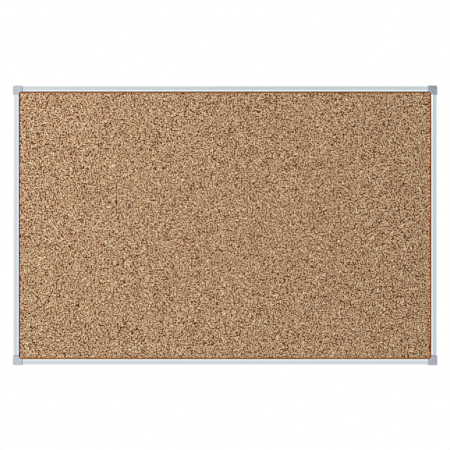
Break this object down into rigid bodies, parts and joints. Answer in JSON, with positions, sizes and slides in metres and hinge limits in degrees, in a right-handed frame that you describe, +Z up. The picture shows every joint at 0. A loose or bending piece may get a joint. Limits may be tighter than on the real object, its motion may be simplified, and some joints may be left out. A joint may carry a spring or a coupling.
{
  "type": "cork bulletin board",
  "caption": "Flat rectangular cork panel in a hollow aluminium frame, screwed to a wall through its corners, with grey push-on caps over the screws; takes notes on push pins.",
  "frame": {"origin": "centre of the four wall screw holes, in the wall plane behind the board", "axes": "+X to the right seen from the front, +Y into the wall, +Z up; the cork faces -Y"},
  "size_m": [0.9144, 0.0158, 0.6024],
  "materials": {
    "frame_aluminium": "satin",
    "cork": "matte",
    "fibreboard": "matte",
    "backing_board": "matte",
    "body_plastic": "matte",
    "cap_plastic": "satin",
    "screw_steel": "satin"
  },
  "bodies": {
    "frame": {"top_rail": "frame_aluminium", "bottom_rail": "frame_aluminium", "left_rail": "frame_aluminium", "right_rail": "frame_aluminium", "cork_sheet": "cork", "core_board": "fibreboard", "backing_sheet": "backing_board", "corner_body_top_left": "body_plastic", "lock_screws_top_left": "screw_steel", "corner_body_top_right": "body_plastic", "lock_screws_top_right": "screw_steel", "corner_body_bottom_left": "body_plastic", "lock_screws_bottom_left": "screw_steel", "corner_body_bottom_right": "body_plastic", "lock_screws_bottom_right": "screw_steel"},
    "cap_top_left": {"corner_cap_top_left": "cap_plastic"},
    "cap_top_right": {"corner_cap_top_right": "cap_plastic"},
    "cap_bottom_left": {"corner_cap_bottom_left": "cap_plastic"},
    "cap_bottom_right": {"corner_cap_bottom_right": "cap_plastic"}
  },
  "joints": [
    {"name": "cap_top_left_pull", "type": "slide", "parent": "frame", "child": "cap_top_left", "axis": [0, -1, 0], "range_m": [0, 0.03]},
    {"name": "cap_top_right_pull", "type": "slide", "parent": "frame", "child": "cap_top_right", "axis": [0, -1, 0], "range_m": [0, 0.03]},
    {"name": "cap_bottom_left_pull", "type": "slide", "parent": "frame", "child": "cap_bottom_left", "axis": [0, -1, 0], "range_m": [0, 0.03]},
    {"name": "cap_bottom_right_pull", "type": "slide", "parent": "frame", "child": "cap_bottom_right", "axis": [0, -1, 0], "range_m": [0, 0.03]}
  ]
}
